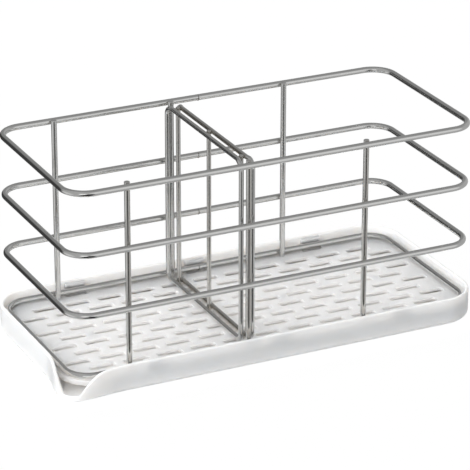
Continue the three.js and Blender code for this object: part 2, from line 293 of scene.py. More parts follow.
@dataclass(frozen=True)
class DrawnSteel:
    """Bright stainless wire: fine die lines along its length, faint mottling, and a tint at the welds."""

    name: str
    colour: tuple[float, float, float]
    line_colour: tuple[float, float, float]
    roughness: float
    tint: tuple[float, float, float] = (0.40, 0.35, 0.28)
    line_stretch: tuple[float, float, float] = (0.02, 1.0, 1.0)
    line_scale: float = 2600.0
    line_range: tuple[float, float] = (0.3, 0.75)
    line_depth: float = 0.00008 * MM
    mottle_scale: float = 220.0
    mottle_rough: float = 0.05
    line_rough: float = 0.06
    heat_rough: float = 0.12
    least_tint: float = 0.35

    def material(self) -> bpy.types.Material:
        """Builds the material.

        Returns:
            The node material.
        """
        recipe = Recipe.material(self.name)
        along = recipe.attribute(WIRE_ATTRIBUTE, "Vector")
        heat = recipe.attribute(WELD_ATTRIBUTE, "Fac")
        lines = recipe.noise(recipe.stretched(along, self.line_stretch), self.line_scale, 2.0, 0.7)
        mottle = recipe.noise(recipe.place(), self.mottle_scale, 3.0)
        steel = recipe.mixed(lines.clipped(*self.line_range), self.colour, self.line_colour)
        tinted = heat * (self.least_tint + (1 - self.least_tint) * mottle)
        colour = recipe.mixed(tinted, steel, self.tint)
        uneven = self.mottle_rough * (mottle - 0.5) + self.line_rough * (lines - 0.5)
        roughness = self.roughness + uneven + self.heat_rough * heat
        inputs = {
            "Base Color": colour,
            "Metallic": 1.0,
            "Roughness": roughness,
            "Normal": recipe.bump(lines, self.line_depth),
        }
        return recipe.principled(inputs)


@dataclass(frozen=True)
class WeldMetal:
    """The small squeezed nugget of a resistance weld: duller, pitted, straw to brown at its edge."""

    name: str
    colour: tuple[float, float, float] = (0.52, 0.50, 0.47)
    edge_colour: tuple[float, float, float] = (0.30, 0.27, 0.23)
    roughness: float = 0.34
    blotch_scale: float = 960.0
    blotch_range: tuple[float, float] = (0.35, 0.65)
    blotch_rough: float = 0.2
    pit_scale: float = 3200.0
    pit_depth: float = 0.02 * MM

    def material(self) -> bpy.types.Material:
        """Builds the material.

        Returns:
            The node material.
        """
        recipe = Recipe.material(self.name)
        place = recipe.place()
        blotch = recipe.noise(place, self.blotch_scale, 3.0)
        pits = recipe.specks(place, self.pit_scale)
        colour = recipe.mixed(blotch.clipped(*self.blotch_range), self.colour, self.edge_colour)
        inputs = {
            "Base Color": colour,
            "Metallic": 1.0,
            "Roughness": self.roughness + self.blotch_rough * (blotch - 0.5),
            "Normal": recipe.bump(pits, self.pit_depth),
        }
        return recipe.principled(inputs)


class Bench:
    """One mesh on the bench, shaped in edit mode as by hand."""

    def __init__(self, name: str) -> None:
        """Takes the primitive that was just added, opens it in edit mode with nothing selected.

        Args:
            name: The piece's name.
        """
        self.piece = bpy.context.object
        self.piece.name = name
        self.piece.data.name = name
        bpy.ops.object.transform_apply(location=True, rotation=True, scale=True)
        bpy.ops.object.mode_set(mode="EDIT")
        bpy.ops.mesh.select_mode(type="VERT")
        bpy.ops.mesh.select_all(action="DESELECT")

    @staticmethod
    def clear() -> None:
        """Leaves nothing selected, so that the next operator touches only what it adds."""
        bpy.ops.object.select_all(action="DESELECT")

    @staticmethod
    def pick(*pieces: bpy.types.Object) -> None:
        """Selects just these objects, with the first as the active one."""
        Bench.clear()
        for piece in pieces:
            piece.select_set(True)
        bpy.context.view_layer.objects.active = pieces[0]

    @classmethod
    def plane(cls, name: str, low: Vector, high: Vector) -> "Bench":
        """A flat rectangle from its two corners, at the height of the first."""
        cls.clear()
        middle = ((low.x + high.x) / 2, (low.y + high.y) / 2, low.z)
        bpy.ops.mesh.primitive_plane_add(size=1, location=middle)
        bpy.context.object.scale = (high.x - low.x, high.y - low.y, 1)
        return cls(name)

    @classmethod
    def block(cls, name: str, low: Vector, high: Vector) -> "Bench":
        """A box from its lowest and highest corners."""
        cls.clear()
        bpy.ops.mesh.primitive_cube_add(size=1, location=(low + high) / 2)
        bpy.context.object.scale = high - low
        return cls(name)

    @classmethod
    def hoop(cls, name: str, centre: Vector, radius: float, normal: Vector, sides: int) -> "Bench":
        """The bare section of a wire: a circle round a centre, square to a direction."""
        cls.clear()
        turn = normal.to_track_quat("Z", "Y").to_euler()
        bpy.ops.mesh.primitive_circle_add(vertices=sides, radius=radius, location=centre, rotation=turn)
        return cls(name)

    @classmethod
    def rod(cls, name: str, foot: Vector, height: float, radius: float, sides: int) -> "Bench":
        """An upright cylinder from the middle of its foot."""
        cls.clear()
        middle = foot + Vector((0, 0, height / 2))
        bpy.ops.mesh.primitive_cylinder_add(vertices=sides, radius=radius, depth=height, location=middle)
        return cls(name)

    @classmethod
    def ball(cls, name: str, centre: Vector, size: Vector, rings: int) -> "Bench":
        """A rounded lump from its middle and its three half sizes."""
        cls.clear()
        bpy.ops.mesh.primitive_uv_sphere_add(segments=2 * rings, ring_count=rings, radius=1, location=centre)
        bpy.context.object.scale = size
        return cls(name)

    def select(self, kind: str, test: Callable[[Any], bool]) -> None:
        """Selects just the edges or faces that pass a test, with kind EDGE or FACE."""
        bpy.ops.mesh.select_mode(type=kind)
        mesh = bmesh.from_edit_mesh(self.piece.data)
        for part in mesh.edges if kind == "EDGE" else mesh.faces:
            part.select = test(part)
        bmesh.update_edit_mesh(self.piece.data)

    def edges(self, test: Callable[[Any], bool]) -> None:
        """Selects just the edges that pass a test."""
        self.select("EDGE", test)

    def faces(self, test: Callable[[Any], bool]) -> None:
        """Selects just the faces that pass a test."""
        self.select("FACE", test)

    def vertex_mode(self) -> "Bench":
        """Goes back to picking vertices."""
        bpy.ops.mesh.select_mode(type="VERT")
        return self

    def everything(self) -> "Bench":
        """Selects the whole mesh."""
        bpy.ops.mesh.select_all(action="SELECT")
        return self

    def extrude(self, step: Vector) -> "Bench":
        """Extrudes what is selected along a step."""
        bpy.ops.mesh.extrude_region_move(TRANSFORM_OT_translate={"value": step})
        return self

    def spin(self, angle: float, centre: Vector, axis: Vector, steps: int) -> "Bench":
        """Sweeps what is selected anticlockwise round an axis; the operator counts the other way."""
        bpy.ops.mesh.spin(steps=steps, angle=-angle, center=centre, axis=axis)
        return self

    def bevel(self, size: float, segments: int, kind: str = "EDGES") -> "Bench":
        """Rounds the selected edges, or corners with kind VERTICES."""
        bpy.ops.mesh.bevel(offset=size, segments=segments, profile=0.5, affect=kind, clamp_overlap=False)
        return self

    def inset(self, width: float, drop: float = 0.0) -> "Bench":
        """Insets the selected faces."""
        bpy.ops.mesh.inset(thickness=width, depth=drop, use_even_offset=True)
        return self

    def cut(self, point: Vector, normal: Vector) -> "Bench":
        """Cuts the selected faces along a plane."""
        bpy.ops.mesh.bisect(plane_co=point, plane_no=normal)
        return self

    def merge(self) -> "Bench":
        """Merges doubles and turns every face outwards."""
        self.vertex_mode().everything()
        bpy.ops.mesh.remove_doubles(threshold=MERGE_DISTANCE)
        bpy.ops.mesh.normals_make_consistent(inside=False)
        return self

    def move_points(self, rule: Callable[[Vector], Vector], picked: bool = False) -> "Bench":
        """Moves the vertices by a rule of their place.

        Args:
            rule: The new place for an old one.
            picked: Whether only the selected ones move.

        Returns:
            The bench.
        """
        mesh = bmesh.from_edit_mesh(self.piece.data)
        for vertex in mesh.verts:
            if vertex.select or not picked:
                vertex.co = rule(vertex.co.copy())
        bmesh.update_edit_mesh(self.piece.data)
        return self

    def lay(self, places: list[Vector]) -> "Bench":
        """Lays the points of a bare hoop at places in order, and selects them."""
        mesh = bmesh.from_edit_mesh(self.piece.data)
        for vertex, place in zip(mesh.verts, places):
            vertex.co = place
        bmesh.update_edit_mesh(self.piece.data)
        return self.everything()

    def done(self, smooth: bool = True) -> bpy.types.Object:
        """Leaves edit mode.

        Args:
            smooth: Whether shallow edges are shaded smooth.

        Returns:
            The finished piece.
        """
        bpy.ops.mesh.select_all(action="SELECT")
        bpy.ops.object.mode_set(mode="OBJECT")
        if smooth:
            bpy.ops.object.shade_smooth_by_angle(angle=SMOOTH_ANGLE)
        return self.piece


def weighted_normals(piece: bpy.types.Object, flats_rule: bool = False) -> None:
    """Lets the large faces of a piece keep their own direction, so that only its roundings shade.

    Args:
        piece: The object.
        flats_rule: Whether the faces marked as strong rule, however small they are.
    """
    Bench.pick(piece)
    modifier = piece.modifiers.new("weighted", "WEIGHTED_NORMAL")
    modifier.keep_sharp = True
    modifier.use_face_influence = flats_rule
    bpy.ops.object.modifier_apply(modifier=modifier.name)


def joined(name: str, pieces: list[bpy.types.Object]) -> bpy.types.Object:
    """Several meshes made one object.

    Args:
        name: The new object's name.
        pieces: The objects, of which the first stays.

    Returns:
        The one object.
    """
    Bench.pick(*pieces)
    if len(pieces) > 1:
        bpy.ops.object.join()
    pieces[0].name = name
    pieces[0].data.name = name
    return pieces[0]


def copied(piece: bpy.types.Object, name: str, step: Vector) -> bpy.types.Object:
    """A copy of a piece with its own mesh, moved by a step in that mesh."""
    twin = piece.copy()
    twin.data = piece.data.copy()
    twin.name = name
    twin.data.name = name
    twin.data.transform(Matrix.Translation(step))
    bpy.context.scene.collection.objects.link(twin)
    return twin


def placed(
    piece: bpy.types.Object,
    material: bpy.types.Material,
    body: Body,
    nodes: tuple[str, ...] = (),
) -> None:
    """Dresses a finished piece and puts it on its body.

    Args:
        piece: The object.
        material: Its finish.
        body: The body that it rides on.
        nodes: The frame's nodes that it stands for.
    """
    piece.data.materials.clear()
    piece.data.materials.append(material)
    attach(piece, body.value)
    if nodes:
        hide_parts(*nodes)
    LOG.info("%s: %d faces on %s", piece.name, len(piece.data.polygons), body.value)


def cleared_away(*models: bpy.types.Object) -> None:
    """Removes the models that were copied."""
    for model in models:
        bpy.data.objects.remove(model)


@dataclass(frozen=True)
class Rod:
    """A straight wire that stands at the origin, with sheared ends that are slightly rounded."""

    bottom: float
    top: float
    wire: float
    end_round: float
    weld_heights: tuple[float, ...]
    weld_reach: float
    sides: int

    def model(self, name: str) -> bpy.types.Object:
        """The rod, cut across at its welds so that its tint can end there."""
        foot = Vector((0, 0, self.bottom))
        bench = Bench.rod(name, foot, self.top - self.bottom, self.wire / 2, self.sides)
        bench.faces(lambda face: abs(face.normal.z) > STEEP)
        bench.bevel(self.end_round, 3)
        for height in self.weld_heights:
            for step in (-1, 0, 1):
                bench.vertex_mode().everything()
                bench.cut(Vector((0, 0, height + step * self.weld_reach)), UP)
        return bench.done()


@dataclass(frozen=True)
class Nugget:
    """The lump of a resistance weld, dented at both ends of one axis, where the jaws pressed."""

    size: Vector
    axis: int
    dent_width: float
    dent_depth: float
    rings: int = 8

    def model(self, name: str, place: Vector) -> bpy.types.Object:
        """The nugget at a place."""
        bench = Bench.ball(name, place, self.size, self.rings)
        bench.faces(lambda face: abs(face.normal[self.axis]) > 0.9)
        bench.inset(self.dent_width, -self.dent_depth)
        return bench.done()


def wire_values(
    piece: bpy.types.Object,
    along: Callable[[Vector], tuple[float, Vector]],
    welds: list[Vector],
    reach: float = 2.6 * MM,
) -> None:
    """Stores how far along its wire each point is, its side of the wire, and the heat of near welds.

    Args:
        piece: The wire.
        along: The distance along the wire and the nearest point of its centre line, for a place.
        welds: The places of the welds on it.
        reach: How far a weld's tint goes.
    """
    mesh = piece.data
    mesh.attributes.new(WIRE_ATTRIBUTE, "FLOAT_VECTOR", "POINT")
    mesh.attributes.new(WELD_ATTRIBUTE, "FLOAT", "POINT")
    line = mesh.attributes[WIRE_ATTRIBUTE]
    heat = mesh.attributes[WELD_ATTRIBUTE]
    for i, vertex in enumerate(mesh.vertices):
        distance, centre = along(vertex.co)
        side = vertex.co - centre
        line.data[i].vector = (distance, side.z, side.x + side.y)
        nearest = min(((vertex.co - weld).length for weld in welds), default=reach)
        heat.data[i].value = max(0.0, 1 - nearest / reach)


def upright_values(piece: bpy.types.Object, foot: Vector, welds: list[Vector]) -> None:
    """Stores these values for an upright wire over a foot."""
    wire_values(piece, lambda place: (place.z, Vector((foot.x, foot.y, place.z))), welds)


@dataclass
class RoundedLoop:
    """A rounded rectangle in a plane, as the centre line of a bent wire."""

    half_length: float
    half_depth: float
    radius: float

    def nearest(self, x: float, y: float) -> tuple[float, float, float]:
        """The nearest point of the line, and its distance from the middle of the back bar.

        Args:
            x: Place along the length.
            y: Place along the depth.

        Returns:
            The distance along the line, and the nearest point's two coordinates.
        """
        straight = self.half_length - self.radius
        side = self.half_depth - self.radius
        arc = self.radius * QUARTER_TURN
        across = abs(x)
        if across <= straight and y > 0:
            return across, x, self.half_depth
        if across <= straight:
            return 2 * (arc + side) + 2 * straight - across, x, -self.half_depth
        sign = math.copysign(1.0, x)
        if abs(y) <= side:
            return straight + arc + side - y, sign * self.half_length, y
        corner = math.copysign(side, y)
        angle = math.atan2(across - straight, abs(y - corner))
        point_x = sign * (straight + self.radius * math.sin(angle))
        point_y = corner + math.copysign(self.radius * math.cos(angle), y)
        if y > 0:
            return straight + self.radius * angle, point_x, point_y
        return straight + arc + 2 * side + self.radius * (QUARTER_TURN - angle), point_x, point_y


@dataclass
class Tray:
    """The white tray: rounded corners, filleted foot and floor, and a pouring spout at the front left."""

    half_length: float
    half_depth: float
    height: float
    wall: float = 2.0 * MM
    floor: float = 2.0 * MM
    corner_radius: float = 22 * MM
    foot_fillet: float = 3.2 * MM
    inner_fillet: float = 2.0 * MM
    rim_round: float = 0.9 * MM
    spout_reach: float = 9.59 * MM
    lip_height: float = 4.8 * MM
    lip_underside: float = 2.0 * MM
    lip_floor: float = 2.7 * MM
    lip_half_width: float = 4.3 * MM
    lip_softening: float = 1.5 * MM
    flank_end: float = 18.4 * MM
    flank_exponent: float = 1.35
    flare_end: float = 29 * MM
    curve_exponent: float = 1.5
    corner_steps: int = 30
    foot_steps: int = 8
    inner_steps: int = 7
    rim_steps: int = 4
    spout_side_cuts: int = 10
    long_face: float = 40 * MM

    def shell(self) -> Bench:
        """The plain tray, before its spout is drawn out."""
        low = Vector((-self.half_length, -self.half_depth, 0))
        high = Vector((self.half_length, self.half_depth, 0))
        bench = Bench.plane("tray_body", low, high)
        bench.everything().bevel(self.corner_radius, self.corner_steps, "VERTICES")
        bench.everything().extrude(Vector((0, 0, self.height)))
        bench.faces(lambda face: face.calc_center_median().z > self.height - MERGE_DISTANCE)
        bench.inset(self.wall)
        bench.faces(lambda face: self.inside(face, self.height))
        bench.extrude(Vector((0, 0, self.floor - self.height)))
        bench.merge()
        bench.edges(lambda edge: self.level(edge, 0.0))
        bench.bevel(self.foot_fillet, self.foot_steps)
        bench.edges(lambda edge: self.level(edge, self.floor))
        bench.bevel(self.inner_fillet, self.inner_steps)
        bench.edges(lambda edge: self.level(edge, self.height))
        bench.bevel(self.rim_round, self.rim_steps)
        return bench

    def inside(self, face: Any, height: float) -> bool:
        """Whether a face is the wide one at a height, inside the wall."""
        centre = face.calc_center_median()
        wide = face.calc_area() > self.half_length * self.half_depth
        return wide and abs(centre.z - height) < MERGE_DISTANCE

    def level(self, edge: Any, height: float) -> bool:
        """Whether an edge lies at a height and has an upright face on one side."""
        flat = all(abs(vertex.co.z - height) < MERGE_DISTANCE for vertex in edge.verts)
        return flat and any(abs(face.normal.z) < STEEP for face in edge.link_faces)

    def station(self, place: Vector) -> tuple[float, float]:
        """Where a point of the wall is on the outline.

        Args:
            place: The point.

        Returns:
            Its distance along the outline from the spout's middle, and how far inside the outline it is.
        """
        centre = Vector((self.corner_radius - self.half_length, self.corner_radius - self.half_depth, 0))
        arc_half = self.corner_radius * math.pi / 4
        if place.x < centre.x and place.y < centre.y:
            reach = Vector((place.x - centre.x, place.y - centre.y, 0))
            turned = math.atan2(reach.y, reach.x) + 3 * math.pi / 4
            return self.corner_radius * turned, self.corner_radius - reach.length
        front = place.y + self.half_depth
        left = place.x + self.half_length
        if front <= left:
            return arc_half + place.x - centre.x, front
        return -(arc_half + place.y - centre.y), left

    def depth_share(self, distance: float) -> float:
        """How deep the spout has cut the wall at a distance from the corner's middle: 1 at the lip."""
        beyond = max(abs(distance) - self.lip_half_width, 0)
        softened = math.hypot(beyond, self.lip_softening) - self.lip_softening
        share = min(softened / (self.flank_end - self.lip_half_width), 1)
        return (1 - math.sin(share * QUARTER_TURN)) ** self.flank_exponent

    def drawn_out(self, place: Vector) -> Vector:
        """Where a point of the plain tray goes when the spout is drawn out of it."""
        distance, inset = self.station(place)
        if abs(distance) > self.flare_end or inset > self.wall + self.inner_fillet + MERGE_DISTANCE:
            return place
        depth = self.depth_share(distance)
        flare = self.spout_reach * (1 - ease(abs(distance) / self.flare_end))
        rim = lerp(self.height, self.lip_height, depth)
        outer = inset < self.wall / 2 or place.z < self.floor - MERGE_DISTANCE
        if outer:
            foot, fillet, end = 0.0, self.foot_fillet, self.lip_underside
            middle = self.foot_fillet
        else:
            foot, fillet, end = self.floor, self.inner_fillet, self.lip_floor
            middle = self.wall + self.inner_fillet
        knee = foot + fillet
        if place.z <= knee + MERGE_DISTANCE:
            angle = math.atan2(max(middle - inset, 0.0), max(knee - place.z, 0.0))
            share = min(angle / QUARTER_TURN, 1.0)
            height = lerp(place.z, lerp(foot, end, share**self.curve_exponent), depth)
        else:
            share = 1.0
            top = self.height - self.rim_round
            low_knee = lerp(knee, end, depth)
            if place.z > top - MERGE_DISTANCE:
                height = place.z - self.height + rim
            else:
                height = lerp(low_knee, rim - self.rim_round, (place.z - knee) / (top - knee))
        towards = Vector((-1, -1, 0)).normalized() * (flare * share)
        return Vector((place.x + towards.x, place.y + towards.y, height))

    def cut_sides(self, bench: Bench) -> None:
        """Cuts the straight walls beside the spout into short lengths that can bend."""
        run = self.flare_end - self.corner_radius * math.pi / 4
        near = self.wall + self.inner_fillet + MERGE_DISTANCE
        for step in range(1, self.spout_side_cuts + 1):
            share = step / self.spout_side_cuts
            across = self.corner_radius - self.half_length + run * share
            along = self.corner_radius - self.half_depth + run * share
            bench.faces(lambda face: self.long_side(face, 1, -self.half_depth, near))
            bench.cut(Vector((across, 0, 0)), RIGHT)
            bench.faces(lambda face: self.long_side(face, 0, -self.half_length, near))
            bench.cut(Vector((0, along, 0)), BACK)

    def long_side(self, face: Any, axis: int, wall: float, near: float) -> bool:
        """Whether a face is a long strip of the straight wall at a place on an axis."""
        if len(face.verts) > 8 or face.calc_perimeter() <= self.long_face:
            return False
        return all(vertex.co[axis] - wall < near for vertex in face.verts)

    def build(self, finish: MouldedPlastic) -> None:
        """Builds and places the tray."""
        bench = self.shell()
        self.cut_sides(bench)
        bench.merge()
        bench.move_points(self.drawn_out)
        piece = bench.done()
        weighted_normals(piece)
        placed(piece, finish.material(), Body.TRAY, ("tray",))


@dataclass(frozen=True)
class Rim:
    """A rounded rectangle round a centre, as the rim of a plate or of a hole in it."""

    half_length: float
    half_depth: float
    radius: float
    steps: int

    def points(self, grown: float, centre: tuple[float, float] = (0.0, 0.0)) -> list[tuple[float, float]]:
        """The rim's points, anticlockwise.

        Args:
            grown: How far the rim is moved outwards.
            centre: Its middle.

        Returns:
            The points.
        """
        radius = self.radius + grown
        points = []
        for quarter, (side_x, side_y) in enumerate(((1, 1), (-1, 1), (-1, -1), (1, -1))):
            for i in range(self.steps + 1):
                angle = (quarter + i / self.steps) * QUARTER_TURN
                x = side_x * (self.half_length - self.radius) + radius * math.cos(angle)
                y = side_y * (self.half_depth - self.radius) + radius * math.sin(angle)
                points.append((x + centre[0], y + centre[1]))
        return points

    def moved(self, place: Vector, height: float, grown: float) -> Vector:
        """Where a point of the rim goes.

        Args:
            place: A point of the rim, however far the rim is grown there.
            height: The new height.
            grown: How far the rim is moved outwards at that height.

        Returns:
            The new place.
        """
        centre_x = math.copysign(self.half_length - self.radius, place.x)
        centre_y = math.copysign(self.half_depth - self.radius, place.y)
        away = Vector((place.x - centre_x, place.y - centre_y)).normalized()
        reach = self.radius + grown
        return Vector((centre_x + reach * away.x, centre_y + reach * away.y, height))


@dataclass
class DripPlate:
    """The slotted plate with its skirt, feet and the snap hooks that hold the lowest ring."""

    half_length: float
    half_depth: float
    foot_bottom: float
    top: float
    thickness: float = 2.0 * MM
    edge_height: float = 3.2 * MM
    skirt_wall: float = 1.6 * MM
    corner_radius: float = 19.6 * MM
    foot_diameter: float = 5 * MM
    foot_taper: float = 0.5 * MM
    foot_edge: float = 9 * MM
    foot_round: float = 0.4 * MM
    foot_sides: int = 24
    foot_columns: tuple[float, ...] = (-4.5, -1.5, 1.5, 4.5)
    slot_length: float = 15 * MM
    slot_width: float = 5 * MM
    slot_radius: float = 1.4 * MM
    slot_pitch: float = 20.55 * MM
    row_pitch: float = 10.6 * MM
    end_margin: float = 6.5 * MM
    side_margin: float = 12 * MM
    edge_round: float = 0.4 * MM
    round_steps: int = 4
    edge_steps: int = 16
    slot_steps: int = 5
    window_steps: int = 4
    hook_width: float = 12.6 * MM
    hook_end_margin: float = 50 * MM
    hook_top: float = 15.9 * MM
    lip_height: float = 2.3 * MM
    lip_overhang: float = 1.6 * MM
    lip_chamfer: float = 0.9 * MM
    hook_round: float = 0.22 * MM
    stem_inner: float = 57.6 * MM
    stem_sunk: float = 0.8 * MM
    stem_hidden: float = 0.5 * MM
    stem_inset: float = 0.04 * MM
    window_depth: float = 3.6 * MM
    window_gap: float = 0.15 * MM
    window_setback: float = 1.2 * MM
    window_radius: float = 0.6 * MM

    @property
    def hook_stations(self) -> list[float]:
        """Where the hooks are along the plate."""
        pitch = self.half_length - self.hook_end_margin
        return [-pitch, 0.0, pitch]

    def slot_centres(self) -> list[tuple[float, float]]:
        """The slots' centres: rows in brick pattern, as many as the margins leave room for."""
        centres = []
        last_row = math.floor((self.half_depth - self.side_margin - self.slot_width / 2) / self.row_pitch)
        reach = self.half_length - self.end_margin - self.slot_length / 2
        for row in range(-last_row, last_row + 1):
            shift = 0.5 if row % 2 else 0.0
            last = math.floor(reach / self.slot_pitch - shift) + shift
            count = int(2 * last) + 1
            for i in range(count):
                centres.append(((i - last) * self.slot_pitch, row * self.row_pitch))
        return centres

    def flat(self, name: str, height: float, rounds: list[list[tuple[float, float]]]) -> bpy.types.Object:
        """A flat filled face from its outline and its holes.

        Args:
            name: The object's name.
            height: Its height.
            rounds: The outline and then the holes, as closed runs of points.

        Returns:
            A mesh of flat faces.
        """
        curve = bpy.data.curves.new(name, "CURVE")
        curve.dimensions = "2D"
        curve.fill_mode = "FRONT"
        for points in rounds:
            spline = curve.splines.new("POLY")
            spline.points.add(len(points) - 1)
            spline.use_cyclic_u = True
            for point, (x, y) in zip(spline.points, points):
                point.co = (x, y, 0, 1)
        piece = bpy.data.objects.new(name, curve)
        bpy.context.scene.collection.objects.link(piece)
        piece.location.z = height
        Bench.pick(piece)
        bpy.ops.object.convert(target="MESH")
        bpy.ops.object.transform_apply(location=True, rotation=True, scale=True)
        return bpy.context.object

    def wall(self, name: str, rim: Rim, levels: list[tuple[float, float]]) -> bpy.types.Object:
        """An upright wall round a hole or an edge.

        Args:
            name: The object's name.
            rim: The hole's or edge's outline.
            levels: Heights from the top down, each with how far the outline is grown there.

        Returns:
            A band of faces.
        """
        height, grown = levels[0]
        points = rim.points(grown)
        bench = Bench.hoop(name, Vector((0, 0, height)), 1, UP, len(points))
        bench.lay([Vector((x, y, height)) for x, y in points])
        for height, grown in levels[1:]:
            bpy.ops.mesh.extrude_edges_move()
            bench.move_points(lambda place: rim.moved(place, height, grown), picked=True)
        return bench.done(smooth=False)

    def rounded_levels(self, top: float, bottom: float, side: int) -> list[tuple[float, float]]:
        """Heights and growths of a wall whose upper and lower rims are rounded.

        Args:
            top: The wall's upper end.
            bottom: Its lower end.
            side: 1 for a hole, -1 for an outer edge.

        Returns:
            The levels from the top down.
        """
        size = self.edge_round
        drops = []
        for step in range(self.round_steps, -1, -1):
            turn = QUARTER_TURN * step / self.round_steps
            drops.append((size * (1 - math.sin(turn)), side * size * (1 - math.cos(turn))))
        upper = [(top - drop, grown) for drop, grown in drops]
        lower = [(bottom + drop, grown) for drop, grown in reversed(drops)]
        return upper + lower

    def deck(self) -> bpy.types.Object:
        """The plate itself: the slotted flat and the deeper band round its edge, in one closed mesh."""
        edge = Rim(self.half_length, self.half_depth, self.corner_radius, self.edge_steps)
        skirt = self.skirt_wall
        inner = Rim(edge.half_length - skirt, edge.half_depth - skirt, edge.radius - skirt, edge.steps)
        slot = Rim(self.slot_length / 2, self.slot_width / 2, self.slot_radius, self.slot_steps)
        window_half = self.hook_width / 2 + self.window_gap
        window = Rim(window_half, self.window_depth / 2, self.window_radius, self.window_steps)
        window_y = self.stem_inner - self.window_setback - self.window_depth / 2
        windows = [(x, side * window_y) for x in self.hook_stations for side in (1, -1)]
        underside = self.top - self.thickness
        foot = self.top - self.edge_height
        grown = self.edge_round
        holes = [slot.points(grown, centre) for centre in self.slot_centres()]
        holes += [window.points(grown, centre) for centre in windows]
        through = self.rounded_levels(self.top, underside, 1)
        skirt_levels = [(underside, 0.0)] + self.rounded_levels(self.top, foot, 1)[self.round_steps + 1 :]
        pieces = [
            self.flat("deck_top", self.top, [edge.points(-grown), *holes]),
            self.flat("deck_under", underside, [inner.points(0.0), *holes]),
            self.flat("deck_foot", foot, [edge.points(-grown), inner.points(grown)]),
            self.wall("deck_side", edge, self.rounded_levels(self.top, foot, -1)),
            self.wall("deck_skirt", inner, skirt_levels),
        ]
        for name, rim, centres in (("slot", slot, self.slot_centres()), ("window", window, windows)):
            model = self.wall(f"{name}_model", rim, through)
            pieces += [copied(model, name, Vector((x, y, 0))) for x, y in centres]
            cleared_away(model)
        joined("drip_plate_deck", pieces)
        bench = Bench("drip_plate_deck")
        bench.merge()
        bench.faces(lambda face: abs(face.normal.z) > FLAT_ENOUGH)
        bpy.ops.mesh.mod_weighted_strength(set=True, face_strength="STRONG")
        piece = bench.done()
        weighted_normals(piece, flats_rule=True)
        return piece

    def hook(self) -> bpy.types.Object:
        """One snap hook at the back, at the middle: a thin stem with a chamfered lip over the wire."""
        half = self.hook_width / 2
        low = Vector((-half, self.stem_inner, self.top - self.stem_sunk))
        high = Vector((half, self.half_depth - self.stem_inset, self.hook_top))
        bench = Bench.block("hook_model", low, high)
        underside = self.hook_top - self.lip_height
        bench.everything().cut(Vector((0, 0, underside)), UP)
        bench.faces(lambda face: face.normal.y < -STEEP and face.calc_center_median().z > underside)
        bench.extrude(Vector((0, -self.lip_overhang, 0)))
        bench.merge()
        bench.edges(self.is_nose)
        bench.bevel(self.lip_chamfer, 4)
        bench.edges(self.is_hook_edge)
        bench.bevel(self.hook_round, 3)
        piece = bench.done()
        weighted_normals(piece)
        return piece

    def is_nose(self, edge: Any) -> bool:
        """Whether an edge is the lip's upper front one."""
        front = self.stem_inner - self.lip_overhang + MERGE_DISTANCE
        top = self.hook_top - MERGE_DISTANCE
        return all(vertex.co.y < front and vertex.co.z > top for vertex in edge.verts)

    def is_hook_edge(self, edge: Any) -> bool:
        """Whether an edge of a hook is sharp and above the plate."""
        above = all(vertex.co.z > self.top - self.stem_hidden for vertex in edge.verts)
        return above and len(edge.link_faces) == 2 and edge.calc_face_angle() > SHARP_ANGLE

    def foot(self) -> bpy.types.Object:
        """One tapered foot under the plate's middle."""
        height = self.top - self.thickness - self.foot_bottom
        radius = self.foot_diameter / 2
        low = Vector((0, 0, self.foot_bottom))
        bench = Bench.rod("foot_model", low, height, radius, self.foot_sides)
        share = 1 - self.foot_taper / radius
        bench.move_points(lambda p: self.tapered(p, share, height))
        bench.edges(lambda edge: all(v.co.z < self.foot_bottom + MERGE_DISTANCE for v in edge.verts))
        bench.bevel(self.foot_round, 3)
        return bench.done()

    def tapered(self, place: Vector, share: float, height: float) -> Vector:
        """A point of the foot drawn in towards its lower end."""
        size = lerp(share, 1.0, (place.z - self.foot_bottom) / height)
        return Vector((place.x * size, place.y * size, place.z))

    def build(self, finish: MouldedPlastic) -> None:
        """Builds and places the plate, its hooks and its feet."""
        material = finish.material()
        placed(self.deck(), material, Body.BASKET, ("drip_plate",))
        back = self.hook()
        front = copied(back, "hook_front_model", ORIGIN)
        front.data.transform(Matrix.Rotation(math.pi, 4, "Z"))
        for name, station in zip(COLUMNS, self.hook_stations):
            for row, model in (("back", back), ("front", front)):
                piece = copied(model, f"plate_hook_{row}_{name}", Vector((station, 0, 0)))
                placed(piece, material, Body.BASKET)
        model = self.foot()
        for row, side in ROWS:
            for i, column in enumerate(self.foot_columns):
                step = Vector((column * self.slot_pitch, side * (self.half_depth - self.foot_edge), 0))
                piece = copied(model, f"plate_foot_{row}_{i + 1}", step)
                placed(piece, material, Body.BASKET)
        cleared_away(back, front, model)


